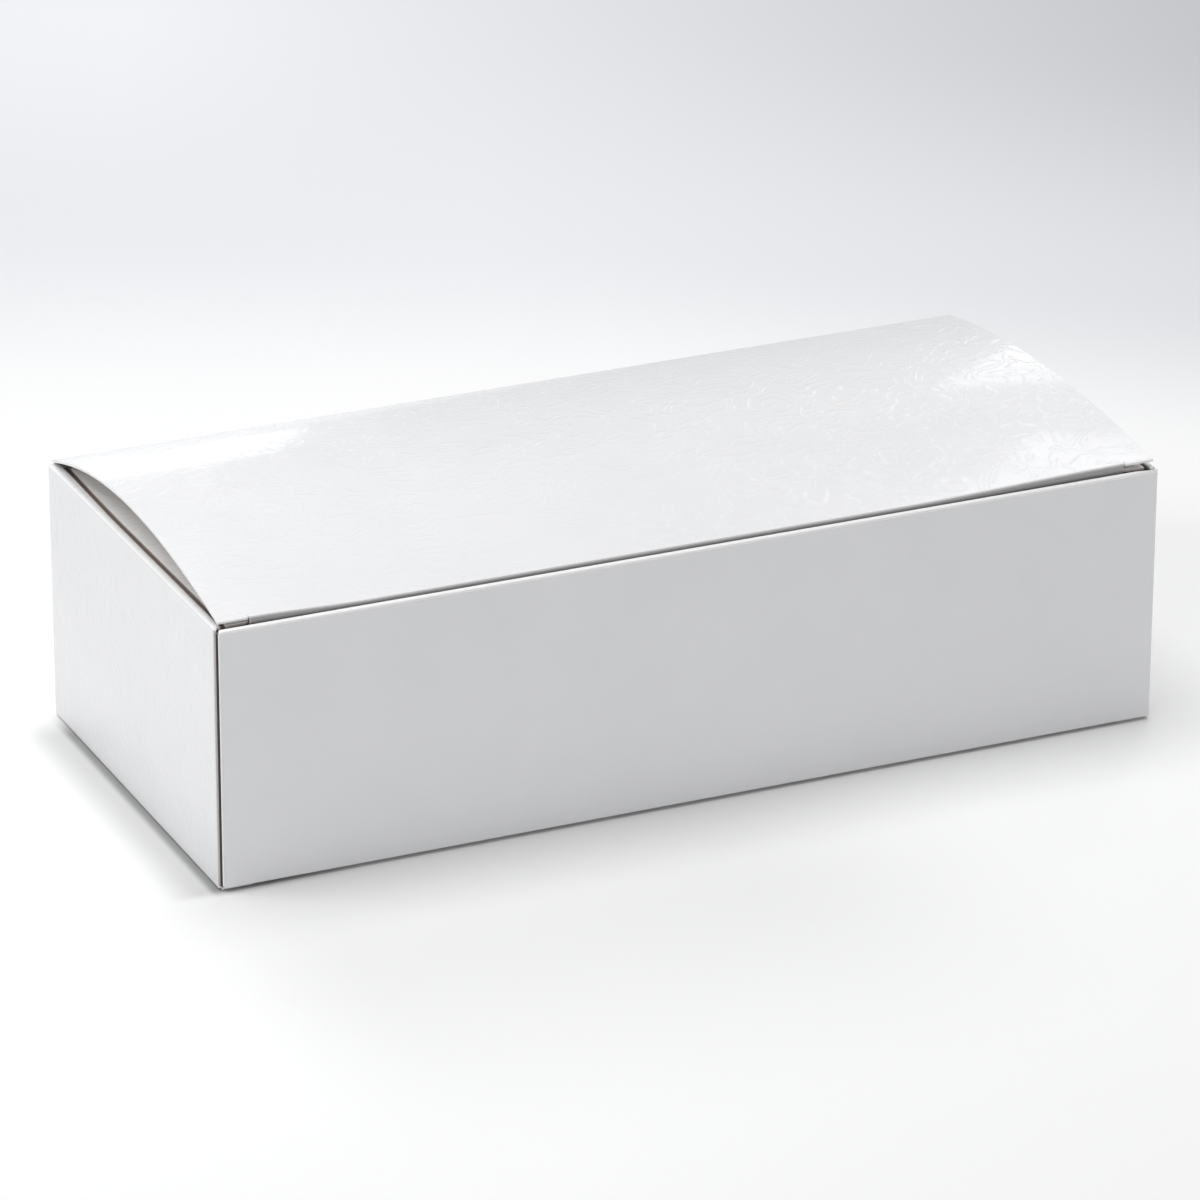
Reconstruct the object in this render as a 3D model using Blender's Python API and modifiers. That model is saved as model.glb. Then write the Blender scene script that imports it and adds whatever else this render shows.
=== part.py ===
# Business card box: a tuck-end folding carton of glossy coated paperboard.
# Each panel and flap between two creases is a board of its own.
# Sizes are in metres. X runs along the front, Y runs to the back, Z is up.
# The origin lies under the middle of the box, on the plane it stands on.

import math

import bmesh
import bpy
from mathutils import Matrix, Vector

# Outside of the box
LENGTH = 0.200
DEPTH = 0.091
WALL_HEIGHT = 0.0535

# Board and folds
BOARD = 0.00055
GAP = 0.0003
FOLD_RADIUS = 0.001
HALF_SPLIT = math.radians(10.0)
LIP_STEP = math.radians(15.0)

# Front panel and its seam with the glue flap
FRONT_EDGE_INSET = 0.0006
FRONT_CORNER_RADIUS = 0.0008
GLUE_FLAP_WIDTH = 0.013
GLUE_FLAP_END_CUT = 0.0015
GLUE_FLAP_TAPER = math.radians(45.0)

# Lid and bottom panel
CLOSURE_SIDE_INSET = 0.0008
LID_BOW_LEFT = 0.0066
LID_BOW_RIGHT = 0.0035
LID_BOW_SKEW = 0.15
LID_FRONT_RISE = 0.0019
BOW_ROWS = 20
END_TAB_LENGTH = 0.0058
SLIT_WIDTH = 0.0004

# Tuck flaps
TUCK_DEPTH = 0.016
TUCK_LEAN = math.radians(10.5)
TUCK_SPLIT_ANGLE = math.radians(50.0)
TUCK_END_CLEARANCE = 0.0004
TUCK_CORNER_RADIUS = 0.009

# Dust flaps
DUST_REACH = 0.038
DUST_CREASE_GAP = 0.0004
DUST_SHOULDER = 0.0054
DUST_FRONT_STEP = 0.0018
DUST_STEP_RUN = 0.0012
DUST_FRONT_TAPER = math.radians(2.0)
DUST_REAR_SETBACK = 0.0045
DUST_REAR_SLOPE = 0.53
DUST_STEP_RADIUS = 0.0005
DUST_REAR_RADIUS = 0.0012
DUST_CORNER_RADIUS = 0.003
LID_DUST_SLOPE = math.radians(2.0)

# Fits worked out from the sizes above
HALF_LENGTH = LENGTH / 2
HALF_DEPTH = DEPTH / 2
CLOSURE_STEP = BOARD + GAP
WALL_BOTTOM = CLOSURE_STEP
WALL_TOP = WALL_BOTTOM + WALL_HEIGHT
BACK_TOP = WALL_TOP + CLOSURE_STEP
SEAM_Y = -HALF_DEPTH + BOARD + GAP
FRONT_FOLD_Y = SEAM_Y + FOLD_RADIUS
REAR_FOLD_Y = HALF_DEPTH - FOLD_RADIUS
END_FOLD_X = HALF_LENGTH - FOLD_RADIUS
SLIT_X = HALF_LENGTH - CLOSURE_SIDE_INSET - END_TAB_LENGTH
END_TAB_EDGE_Y = FRONT_FOLD_Y - FOLD_RADIUS * math.pi / 4

# Frames for the two closures: outward is +Z in both, measured from the end walls' folds
TOP_FRAME = Matrix.Translation((0, 0, WALL_TOP))
BOTTOM_FRAME = Matrix.Translation((0, 0, WALL_BOTTOM)) @ Matrix.Rotation(math.pi, 4, "Y")

WHITE_COATED = (0.86, 0.86, 0.87, 1.0)


def clear_scene():
    for obj in list(bpy.data.objects):
        bpy.data.objects.remove(obj, do_unlink=True)


def make_collection(name):
    collection = bpy.data.collections.new(name)
    bpy.context.scene.collection.children.link(collection)
    return collection


def make_material(name):
    material = bpy.data.materials.new(name)
    material.use_nodes = True
    shader = material.node_tree.nodes["Principled BSDF"]
    shader.inputs["Base Color"].default_value = WHITE_COATED
    shader.inputs["Roughness"].default_value = 0.35
    return material


def plane_frame(origin, u_axis, v_axis):
    u_axis, v_axis = Vector(u_axis), Vector(v_axis)
    normal = u_axis.cross(v_axis)
    frame = Matrix((u_axis, v_axis, normal)).transposed().to_4x4()
    frame.translation = Vector(origin)
    return frame


def board_face(outline, radii=None):
    """A flat board's outside face in its own plane, with some corners rounded."""
    bm = bmesh.new()
    corners = [bm.verts.new((u, v, 0.0)) for u, v in outline]
    bm.faces.new(corners)
    for index, radius in (radii or {}).items():
        bmesh.ops.bevel(bm, geom=[corners[index]], offset=radius, segments=5,
                        affect="VERTICES", profile=0.5)
    return bm


def add_lip(bm, side, at, angle):
    """Rolls the board's edge on one side inwards round the fold radius."""
    side = Vector(side)
    edges = [edge for edge in bm.edges
             if all(abs(vert.co.dot(side) - at) < 1e-6 and abs(vert.co.z) < 1e-6
                    for vert in edge.verts)]
    verts = list({vert for edge in edges for vert in edge.verts})
    centre = side * at - Vector((0, 0, FOLD_RADIUS))
    bmesh.ops.spin(bm, geom=verts + edges, cent=centre, axis=Vector((0, 0, 1)).cross(side),
                   angle=angle, steps=max(2, round(angle / LIP_STEP)), use_duplicate=False)


def finish_board(name, bm, frame, collection, pivot=None):
    """Turns the outside face into a board of even thickness, as an object of its own."""
    bmesh.ops.recalc_face_normals(bm, faces=bm.faces)
    if sum(face.normal.z * face.calc_area() for face in bm.faces) < 0:
        bmesh.ops.reverse_faces(bm, faces=bm.faces)
    pivot = Vector(pivot) if pivot else Vector((0, 0, 0))
    bmesh.ops.transform(bm, matrix=Matrix.Translation(-pivot) @ frame, verts=bm.verts)
    mesh = bpy.data.meshes.new(name)
    bm.to_mesh(mesh)
    bm.free()
    mesh.materials.append(make_material(name + "_board"))
    board = bpy.data.objects.new(name, mesh)
    board.location = pivot
    collection.objects.link(board)
    solidify = board.modifiers.new("board_thickness", "SOLIDIFY")
    solidify.thickness = BOARD
    solidify.offset = -1.0
    solidify.use_even_offset = True
    return board


def build_front_panel(collection):
    left, right = -HALF_LENGTH + FRONT_EDGE_INSET, END_FOLD_X
    outline = [(left, WALL_BOTTOM), (right, WALL_BOTTOM), (right, WALL_TOP), (left, WALL_TOP)]
    bm = board_face(outline, {0: FRONT_CORNER_RADIUS, 3: FRONT_CORNER_RADIUS})
    add_lip(bm, (1, 0, 0), right, math.pi / 2)
    frame = plane_frame((0, -HALF_DEPTH, 0), (1, 0, 0), (0, 0, 1))
    finish_board("front_panel", bm, frame, collection)


def build_back_panel(collection):
    left, right = -END_FOLD_X + GAP, END_FOLD_X - GAP
    bottom, top = FOLD_RADIUS, BACK_TOP - FOLD_RADIUS
    outline = [(left, bottom), (right, bottom), (right, top), (left, top)]
    bm = board_face(outline)
    half_fold = math.pi / 4 - HALF_SPLIT
    add_lip(bm, (0, 1, 0), top, half_fold)
    add_lip(bm, (0, -1, 0), -bottom, half_fold)
    frame = plane_frame((0, HALF_DEPTH, 0), (-1, 0, 0), (0, 0, 1))
    finish_board("back_panel", bm, frame, collection)


def build_end_panel(name, side, front_lip, collection):
    """An end wall, seen from outside, with its folds into the flaps and the next walls."""
    front = -FRONT_FOLD_Y if front_lip else HALF_DEPTH - FOLD_RADIUS - GAP
    low, high = (-REAR_FOLD_Y, front) if side < 0 else (-front, REAR_FOLD_Y)
    bottom, top = WALL_BOTTOM + FOLD_RADIUS, WALL_TOP - FOLD_RADIUS
    bm = board_face([(low, bottom), (high, bottom), (high, top), (low, top)])
    add_lip(bm, (0, 1, 0), top, math.pi / 2)
    add_lip(bm, (0, -1, 0), -bottom, math.pi / 2)
    add_lip(bm, (side, 0, 0), REAR_FOLD_Y, math.pi / 2)
    if front_lip:
        add_lip(bm, (-side, 0, 0), front, math.pi / 2)
    frame = plane_frame((side * HALF_LENGTH, 0, 0), (0, side, 0), (0, 0, 1))
    finish_board(name, bm, frame, collection)


def build_glue_flap(collection):
    near = -END_FOLD_X + GAP
    far = near + GLUE_FLAP_WIDTH
    bottom = WALL_BOTTOM + GLUE_FLAP_END_CUT
    top = WALL_TOP - GLUE_FLAP_END_CUT
    taper = GLUE_FLAP_WIDTH * math.tan(GLUE_FLAP_TAPER)
    outline = [(near, bottom), (far, bottom + taper), (far, top - taper), (near, top)]
    bm = board_face(outline)
    frame = plane_frame((0, SEAM_Y, 0), (1, 0, 0), (0, 0, 1))
    finish_board("glue_flap", bm, frame, collection)


def fold_point(centre_y, centre_z, angle):
    """A point of a fold's outside, at an angle from straight out towards the front."""
    return (centre_y - FOLD_RADIUS * math.sin(angle), centre_z + FOLD_RADIUS * math.cos(angle))


def build_closure_panel(name, frame, bow_left, bow_right, front_rise, collection):
    """The lid or the bottom: a bowed board with half a fold at the rear and, between
    the slits, half a fold at the front. The tabs outside the slits stay straight, and
    end at the crease line, along which the slits are cut."""
    rear_z = CLOSURE_STEP - FOLD_RADIUS
    front_z = front_rise - FOLD_RADIUS
    run = REAR_FOLD_Y - FRONT_FOLD_Y
    climb = front_rise - CLOSURE_STEP
    edge_x = HALF_LENGTH - CLOSURE_SIDE_INSET

    def bow_at(x):
        share = (x + edge_x) / (2 * edge_x)
        return bow_left + (bow_right - bow_left) * share

    def end_angles(x):
        rear_slope = (4 * bow_at(x) * (1 + LID_BOW_SKEW) + climb) / run
        front_slope = (4 * bow_at(x) * (1 - LID_BOW_SKEW) - climb) / run
        return -math.atan(rear_slope), math.atan(front_slope)

    def surface(x, share):
        rear_angle, front_angle = end_angles(x)
        rear_point = Vector(fold_point(REAR_FOLD_Y, rear_z, rear_angle))
        front_point = Vector(fold_point(FRONT_FOLD_Y, front_z, front_angle))
        point = rear_point.lerp(front_point, share)
        crown = 4 * share * (1 - share) * (1 + LID_BOW_SKEW * (1 - 2 * share))
        return Vector((x, point.x, point.y + bow_at(x) * crown))

    bm = bmesh.new()
    columns = [-edge_x, -SLIT_X, -SLIT_X / 2, 0.0, SLIT_X / 2, SLIT_X, edge_x]
    grid = bmesh.ops.create_grid(bm, x_segments=len(columns) - 1, y_segments=BOW_ROWS, size=1.0)
    front_verts, rear_verts = [], []
    for vert in grid["verts"]:
        column = columns[round((vert.co.x + 1) / 2 * (len(columns) - 1))]
        share = (1 - vert.co.y) / 2
        if share > 1 - 1e-6:
            front_verts.append(vert)
        if share < 1e-6:
            rear_verts.append(vert)
        vert.co = surface(column, share)

    def edges_between(verts, low, high):
        chosen = set(verts)
        return [edge for edge in bm.edges if set(edge.verts) <= chosen
                and all(low - 1e-6 <= vert.co.x <= high + 1e-6 for vert in edge.verts)]

    def roll(edges, centre_y, centre_z, start_of, end_angle, squeeze):
        steps = 4
        for step in range(1, steps + 1):
            out = bmesh.ops.extrude_edge_only(bm, edges=edges)["geom"]
            edges = [item for item in out if isinstance(item, bmesh.types.BMEdge)]
            for vert in [item for item in out if isinstance(item, bmesh.types.BMVert)]:
                start = start_of(vert.co.x)
                angle = start + (end_angle - start) * step / steps
                y, z = fold_point(centre_y, centre_z, angle)
                x = max(-SLIT_X + SLIT_WIDTH, min(SLIT_X - SLIT_WIDTH, vert.co.x)) \
                    if squeeze else vert.co.x
                vert.co = Vector((x, y, z))

    roll(edges_between(rear_verts, -edge_x, edge_x), REAR_FOLD_Y, rear_z,
         lambda x: end_angles(x)[0], -math.pi / 4 + HALF_SPLIT, False)
    roll(edges_between(front_verts, -SLIT_X, SLIT_X), FRONT_FOLD_Y, front_z,
         lambda x: end_angles(x)[1], TUCK_SPLIT_ANGLE - HALF_SPLIT, True)
    for low, high in ((-edge_x, -SLIT_X), (SLIT_X, edge_x)):
        out = bmesh.ops.extrude_edge_only(bm, edges=edges_between(front_verts, low, high))["geom"]
        for vert in [item for item in out if isinstance(item, bmesh.types.BMVert)]:
            reach = vert.co.y - END_TAB_EDGE_Y
            drop = reach * math.tan(end_angles(vert.co.x)[1])
            vert.co += Vector((0, -reach, -drop))

    hinge = fold_point(REAR_FOLD_Y, rear_z, -math.pi / 4)
    pivot = frame @ Vector((0, hinge[0], hinge[1]))
    finish_board(name, bm, frame, collection, pivot)


def build_tuck_flap(name, frame, front_rise, collection):
    """The flap that goes down behind the front panel, with the other half of its fold."""
    half = SLIT_X - SLIT_WIDTH - TUCK_END_CLEARANCE
    front_z = front_rise - FOLD_RADIUS
    turn = math.pi / 2 + TUCK_LEAN
    outline = [(-half, -TUCK_DEPTH), (half, -TUCK_DEPTH), (half, 0), (-half, 0)]
    bm = board_face(outline, {0: TUCK_CORNER_RADIUS, 1: TUCK_CORNER_RADIUS})
    add_lip(bm, (0, 1, 0), 0, turn - TUCK_SPLIT_ANGLE - HALF_SPLIT)
    start = fold_point(FRONT_FOLD_Y, front_z, turn)
    upward = (0, -math.sin(TUCK_LEAN), math.cos(TUCK_LEAN))
    plane = plane_frame((0, start[0], start[1]), (1, 0, 0), upward)
    hinge = fold_point(FRONT_FOLD_Y, front_z, TUCK_SPLIT_ANGLE)
    pivot = frame @ Vector((0, hinge[0], hinge[1]))
    finish_board(name, bm, frame @ plane, collection, pivot)


def build_dust_flap(name, frame, side, slope, collection):
    """A flap folded in from an end wall: a shoulder at the front, tapered at the rear."""
    near = DUST_CREASE_GAP / 2
    reach = DUST_REACH - (HALF_LENGTH - END_FOLD_X)
    step_end = DUST_SHOULDER + DUST_STEP_RUN
    front = SEAM_Y + DUST_FRONT_STEP
    front_tip = front + (reach - step_end) * math.tan(DUST_FRONT_TAPER)
    rear = HALF_DEPTH - DUST_REAR_SETBACK
    rear_tip = rear - reach * DUST_REAR_SLOPE
    outline = [(near, SEAM_Y), (DUST_SHOULDER, SEAM_Y), (step_end, front), (reach, front_tip),
               (reach, rear_tip), (near, rear)]
    radii = {1: DUST_STEP_RADIUS, 2: DUST_STEP_RADIUS, 3: DUST_CORNER_RADIUS,
             4: DUST_CORNER_RADIUS, 5: DUST_REAR_RADIUS}
    if side > 0:
        outline = [(-u, v) for u, v in reversed(outline)]
        radii = {len(outline) - 1 - index: radius for index, radius in radii.items()}
    bm = board_face(outline, radii)
    hinge = Vector((side * (END_FOLD_X - DUST_CREASE_GAP / 2), 0, 0))
    place = frame @ Matrix.Translation(hinge) @ Matrix.Rotation(side * slope, 4, "Y")
    finish_board(name, bm, place, collection, frame @ hinge)


def main():
    clear_scene()
    box = make_collection("business_card_box")
    build_front_panel(box)
    build_back_panel(box)
    build_end_panel("left_end_panel", -1, True, box)
    build_end_panel("right_end_panel", 1, False, box)
    build_glue_flap(box)
    build_closure_panel("lid_panel", TOP_FRAME, LID_BOW_LEFT, LID_BOW_RIGHT, LID_FRONT_RISE, box)
    build_tuck_flap("lid_tuck_flap", TOP_FRAME, LID_FRONT_RISE, box)
    build_dust_flap("top_left_dust_flap", TOP_FRAME, -1, LID_DUST_SLOPE, box)
    build_dust_flap("top_right_dust_flap", TOP_FRAME, 1, LID_DUST_SLOPE, box)
    build_closure_panel("bottom_panel", BOTTOM_FRAME, 0.0, 0.0, CLOSURE_STEP, box)
    build_tuck_flap("bottom_tuck_flap", BOTTOM_FRAME, CLOSURE_STEP, box)
    build_dust_flap("bottom_left_dust_flap", BOTTOM_FRAME, 1, 0.0, box)
    build_dust_flap("bottom_right_dust_flap", BOTTOM_FRAME, -1, 0.0, box)


main()
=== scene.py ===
# Business card box: the look of the coated paperboard carton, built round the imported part.
# Sizes are in metres, in the part's own frame: X along the front, Y to the back, Z up.

import math

import bmesh
import bpy
from mathutils import Matrix, Vector


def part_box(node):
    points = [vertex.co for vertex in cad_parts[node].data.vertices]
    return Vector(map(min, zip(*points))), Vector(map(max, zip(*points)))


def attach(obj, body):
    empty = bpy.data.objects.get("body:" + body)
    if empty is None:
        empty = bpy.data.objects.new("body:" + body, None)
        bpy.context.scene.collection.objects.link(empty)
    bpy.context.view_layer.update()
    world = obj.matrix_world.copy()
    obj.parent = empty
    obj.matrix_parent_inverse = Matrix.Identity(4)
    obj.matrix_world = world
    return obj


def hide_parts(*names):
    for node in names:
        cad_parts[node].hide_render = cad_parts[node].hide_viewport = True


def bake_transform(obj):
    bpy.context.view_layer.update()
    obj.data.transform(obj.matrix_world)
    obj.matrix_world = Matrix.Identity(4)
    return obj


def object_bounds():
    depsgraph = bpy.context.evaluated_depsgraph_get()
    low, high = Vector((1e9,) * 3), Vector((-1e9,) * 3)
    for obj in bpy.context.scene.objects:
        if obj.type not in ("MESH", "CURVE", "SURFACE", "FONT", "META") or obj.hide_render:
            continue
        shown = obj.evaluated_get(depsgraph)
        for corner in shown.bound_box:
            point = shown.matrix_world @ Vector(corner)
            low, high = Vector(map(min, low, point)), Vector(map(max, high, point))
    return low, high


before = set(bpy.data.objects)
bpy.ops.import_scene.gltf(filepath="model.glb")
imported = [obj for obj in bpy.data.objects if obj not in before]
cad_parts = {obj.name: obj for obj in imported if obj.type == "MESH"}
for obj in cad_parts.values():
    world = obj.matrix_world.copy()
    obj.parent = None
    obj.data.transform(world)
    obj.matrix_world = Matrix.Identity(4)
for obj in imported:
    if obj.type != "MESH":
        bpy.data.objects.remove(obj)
cad_low, cad_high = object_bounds()

# Sizes read from the frame
FRONT_LOW, FRONT_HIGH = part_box("front_panel")
HALF_LENGTH = cad_high.x
HALF_DEPTH = cad_high.y
WALL_BOTTOM = FRONT_LOW.z
WALL_TOP = FRONT_HIGH.z
GLUE_END_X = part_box("glue_flap")[1].x
CLOSURE_EDGE_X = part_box("lid_panel")[1].x
TUCK_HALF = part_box("lid_tuck_flap")[1].x
DUST_END_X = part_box("top_left_dust_flap")[1].x

# Board and folds
BOARD = 0.00055
GAP = 0.0003                    # clearance between boards that lie against each other
FOLD = 0.001                    # outside radius of a fold
CORNER_FOLD = 0.0008            # the same at the upright corners
EDGE_SOFTNESS = 0.00013
HAIRLINE = 0.00001              # softness of the edges that meet another piece's skin
FOLD_MIDDLE = math.pi / 4       # half a fold's quarter turn
SPLIT = math.radians(10.0)      # half the turn of a fold's bending strip
CLOSURE_STEP = BOARD + GAP      # a closure's outside above the walls' edge
BACK_TOP = WALL_TOP + CLOSURE_STEP
SEAM_Y = -HALF_DEPTH + BOARD + GAP
FRONT_FOLD_Y = SEAM_Y + FOLD
REAR_FOLD_Y = HALF_DEPTH - FOLD
END_FOLD_X = HALF_LENGTH - FOLD
CORNER_X = HALF_LENGTH - CORNER_FOLD
REAR_CORNER_Y = HALF_DEPTH - CORNER_FOLD
FRONT_CORNER_Y = SEAM_Y + CORNER_FOLD

# Mesh steps
COLUMN = 0.004                  # usual distance between columns of vertices
GLUE_COLUMN = 0.002
FRONT_EDGE_COLUMN = 0.00008
TAB_COLUMN = 0.0015
DUST_COLUMN = 0.003
DUST_ROW = 0.0015
WALL_ROWS = 12
BACK_TOP_STEPS = 2
SLIT_STEPS = 2
TUCK_CORNER_STEPS = 12
DUST_CORNER_STEPS = 6
CORNER_STEPS = 10
ROLL_OVER_STEPS = 12
CORNER_ROLL_STEPS = 8
VALLEY_STEPS = 3
LIP_STEPS = 4
FRONT_TOP_STEPS = 28
CLOSURE_ROWS = 48
ROLL_STEPS = 8
TAB_STEPS = 6
CREASE_STEPS = 6
EQUAL = 1e-9                    # tolerances: of exact numbers, of vertices, and on the front
EQUAL_VERTEX = 1e-7
ON_FRONT = 1e-5

# Carton walls
CORNER_DROP = 0.0003
FOOT_RADIUS = 0.0005
FOOT_BOTTOM = 0.0003
ROLL_OVER = math.radians(100.0)
CORNER_ROLL = math.radians(60.0)
RIDGE_INSETS = (0.00015, 0.00047)   # where the ridge painted lighter as a highlight lies, in from the end face
VALLEY_LENGTH = 0.0004
VALLEY_WIDENING = 0.0005
VALLEY_WIDENS_FROM = 0.009
PANEL_WAVE = 0.00004
PANEL_WAVES = (                 # radians for each metre along X, Y and Z, and the phase
    (61, 0, 23, 1.1), (-37, 0, 113, 0.4), (29, 71, 0, 2.0))
HIDDEN_STEPS = 4                # steps of the front left corner behind the front panel, painted near-black as the seam's shade
FRONT_EDGE_X = -HALF_LENGTH + 0.00065
FRONT_TOP_DROP = 0.00024
FRONT_TOP_PATH = 0.0009
FRONT_TOP_CURL = 1.6            # the longest path of its curl, in heights
FRONT_TOP_GROOVE = 0.00003
FRONT_GROOVE_AT = 0.45          # the groove's place and width, in shares of the path
FRONT_GROOVE_WIDTH = 0.12
FRONT_TOP_FADE = 0.0015
FRONT_CORNER_RADIUS = 0.0006
GLUE_END_CUT = 0.0015
GLUE_TAPER = math.radians(45.0)

# Lid and bottom
LID_BOW_LEFT = 0.0066
LID_BOW_RIGHT = 0.0035
LID_BOW_SKEW = 0.15             # moves the crown of the bow to the rear
LID_FRONT_RISE = 0.00065
LID_LEFT_LIFT = 0.00065
LID_LEFT_RUN = 0.025
LID_RIGHT_LIFT = 0.0010
LID_RIGHT_RUN = 0.050
FRONT_FOLD = 0.0006
FRONT_SETBACK = 0.0002          # how far behind SEAM_Y the front fold stays
FRONT_CENTRE_Y = SEAM_Y + FRONT_SETBACK + FRONT_FOLD
END_TAB_LENGTH = 0.0062
END_TAB_EDGE_Y = FRONT_FOLD_Y - FOLD * FOLD_MIDDLE
TAB_SLOPE = 0.5                 # share of the lid's slope that an end tab goes on with
TAB_TURN_DOWN = 0.00012
SLIT_X = CLOSURE_EDGE_X - END_TAB_LENGTH
SLIT_WIDTH = 0.0002
SLIT_RUN = 0.0007
CREASE_LAP = math.radians(1.5)  # how far a bending strip goes on into its neighbours

# Tuck flaps
TUCK_DEPTH = 0.016
TUCK_LEAN = math.radians(10.5)
TUCK_SPLIT = math.radians(50.0)     # where the bending strip lies, round the front fold
TUCK_CORNER = 0.009
TUCK_SHADED = 0.0025            # depth below the fold of the tuck flap's painted shade

# Dust flaps
DUST_NEAR = 0.00115
DUST_REACH = DUST_END_X + HALF_LENGTH - FOLD
DUST_SHOULDER = 0.0054
DUST_SHOULDER_BACK = 0.0006
DUST_FRONT_STEP = 0.0018
DUST_STEP_RUN = 0.0012
DUST_FRONT_TAPER = math.radians(2.0)
DUST_REAR_SETBACK = 0.0045
DUST_REAR_SLOPE = 0.53
DUST_CORNER = 0.003
DUST_STEP_RADIUS = 0.0005
DUST_REAR_RADIUS = 0.0012
DUST_REAR_LIFT = 0.0003
DUST_REAR_SHARE = 0.2           # share of the depth over which the rear end lifts
DUST_LIFT_RUN = 0.030
DUST_EDGE_SOFTNESS = 0.0002
DUST_CREASE_GAP = 0.0009
LID_DUST_SLOPE = math.radians(2.0)

# The ligament at the bottom of a dust flap's cut crease, which laps the wall and the flap
CREASE_DEPTH = 0.00062
LIGAMENT = 0.00015
WALL_LAP = 0.0003
FLAP_LAP = 0.0002
LIGAMENT_FRONT_Y = FRONT_FOLD_Y + 0.0004
LIGAMENT_REAR_Y = REAR_FOLD_Y - 0.0016

TOP_FRAME = Matrix.Translation((0, 0, WALL_TOP))
BOTTOM_FRAME = Matrix.Translation((0, 0, WALL_BOTTOM)) @ Matrix.Rotation(math.pi, 4, "Y")


# Node helpers

def new_material(name):
    material = bpy.data.materials.new(name)
    material.use_nodes = True
    material.node_tree.nodes.clear()
    return material, material.node_tree


def add_node(tree, kind, **settings):
    node = tree.nodes.new(kind)
    for key, value in settings.items():
        setattr(node, key, value)
    return node


def noise(tree, vector, scale, detail=3.0, roughness=0.5, distortion=0.0):
    node = add_node(tree, "ShaderNodeTexNoise")
    node.inputs["Scale"].default_value = scale
    node.inputs["Detail"].default_value = detail
    node.inputs["Roughness"].default_value = roughness
    node.inputs["Distortion"].default_value = distortion
    tree.links.new(vector, node.inputs["Vector"])
    return node.outputs["Fac"]


def math_node(tree, operation, *values):
    """A Math node. Each value is a number or another node's output."""
    node = add_node(tree, "ShaderNodeMath", operation=operation)
    for socket, value in zip(node.inputs, values):
        if isinstance(value, (int, float)):
            socket.default_value = value
        else:
            tree.links.new(value, socket)
    return node.outputs[0]


def product(tree, first, *others):
    for other in others:
        first = math_node(tree, "MULTIPLY", first, other)
    return first


def weighted(tree, a, weight_a, b, weight_b):
    return math_node(tree, "ADD", product(tree, a, weight_a), product(tree, b, weight_b))


def mixed(tree, factor, a, b):
    """a at factor 0 and b at factor 1, for plain numbers."""
    return weighted(tree, a, math_node(tree, "SUBTRACT", 1.0, factor), b, factor)


def ramp(tree, factor, stops):
    node = add_node(tree, "ShaderNodeValToRGB")
    elements = node.color_ramp.elements
    while len(elements) < len(stops):
        elements.new(0.5)
    for element, (position, colour) in zip(elements, stops):
        element.position = position
        element.color = (*colour, 1.0)
    tree.links.new(factor, node.inputs["Fac"])
    return node.outputs["Color"]


def map_range(tree, value, source, target, smooth=False):
    """Maps the source range of a value to the target range, and holds its ends beyond."""
    node = add_node(tree, "ShaderNodeMapRange", clamp=True)
    node.interpolation_type = "SMOOTHSTEP" if smooth else "LINEAR"
    names = ("From Min", "From Max", "To Min", "To Max")
    for name, number in zip(names, (*source, *target)):
        node.inputs[name].default_value = number
    tree.links.new(value, node.inputs["Value"])
    return node.outputs["Result"]


def bump(tree, height, distance, strength, normal=None):
    node = add_node(tree, "ShaderNodeBump")
    node.inputs["Distance"].default_value = distance
    node.inputs["Strength"].default_value = strength
    tree.links.new(height, node.inputs["Height"])
    if normal is not None:
        tree.links.new(normal, node.inputs["Normal"])
    return node.outputs["Normal"]


def object_coordinates(tree):
    return add_node(tree, "ShaderNodeTexCoord").outputs["Object"]


def component(tree, vector, axis):
    node = add_node(tree, "ShaderNodeSeparateXYZ")
    tree.links.new(vector, node.inputs[0])
    return node.outputs[axis]


def along(tree, vector, direction):
    node = add_node(tree, "ShaderNodeVectorMath", operation="DOT_PRODUCT")
    tree.links.new(vector, node.inputs[0])
    node.inputs[1].default_value = direction
    return node.outputs["Value"]


def facing(tree, axis):
    """How squarely the surface faces along an axis of its object, to either side."""
    normal = add_node(tree, "ShaderNodeTexCoord").outputs["Normal"]
    return math_node(tree, "ABSOLUTE", component(tree, normal, axis))


def principled(tree, colour, normal, roughness, **sockets):
    """The surface shader. Roughness is a number or a node's output, the rest are numbers."""
    shader = add_node(tree, "ShaderNodeBsdfPrincipled")
    output = add_node(tree, "ShaderNodeOutputMaterial")
    tree.links.new(shader.outputs["BSDF"], output.inputs["Surface"])
    tree.links.new(colour, shader.inputs["Base Color"])
    tree.links.new(normal, shader.inputs["Normal"])
    if isinstance(roughness, float):
        shader.inputs["Roughness"].default_value = roughness
    else:
        tree.links.new(roughness, shader.inputs["Roughness"])
    for name, value in sockets.items():
        shader.inputs[name.replace("_", " ")].default_value = value
    return shader


# Materials

COATING_IOR = 1.5
FIBRE_IOR = 1.45
RELIEF_RINGS = 50.0             # turns the relief's field into rings, in radians


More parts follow.
